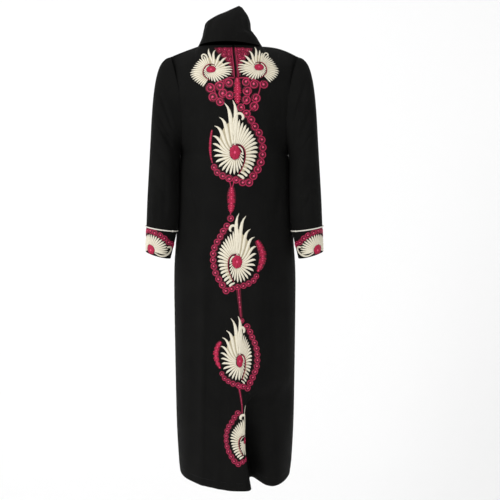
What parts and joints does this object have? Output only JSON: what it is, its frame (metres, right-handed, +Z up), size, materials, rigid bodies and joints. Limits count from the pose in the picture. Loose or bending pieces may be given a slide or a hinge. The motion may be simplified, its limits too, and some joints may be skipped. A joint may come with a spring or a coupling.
{
  "type": "hooded abaya",
  "caption": "Long straight black over-dress with set-in sleeves, piped embroidered cuffs, a front neck slit, an embroidered centre column and a soft peaked hood, in its worn form.",
  "frame": {"origin": "between the shoulders at the height of the neck points, where the garment is carried", "axes": "+Z up along the garment, -Y out of the front, +X to the wearer's left"},
  "size_m": [0.5622, 0.3586, 1.4821],
  "materials": {
    "black_crepe": "soft matte woven crepe",
    "cream_piping": "satin bias-covered cord",
    "cream_embroidery": "satin stitch in rayon thread",
    "crimson_embroidery": "satin stitch in rayon thread"
  },
  "bodies": {
    "root": {"front": "black_crepe", "back": "black_crepe", "sleeve_right": "black_crepe", "sleeve_left": "black_crepe", "cuff_right": "black_crepe", "cuff_left": "black_crepe", "piping_right": "cream_piping", "piping_left": "cream_piping", "hood": "black_crepe"}
  },
  "joints": []
}
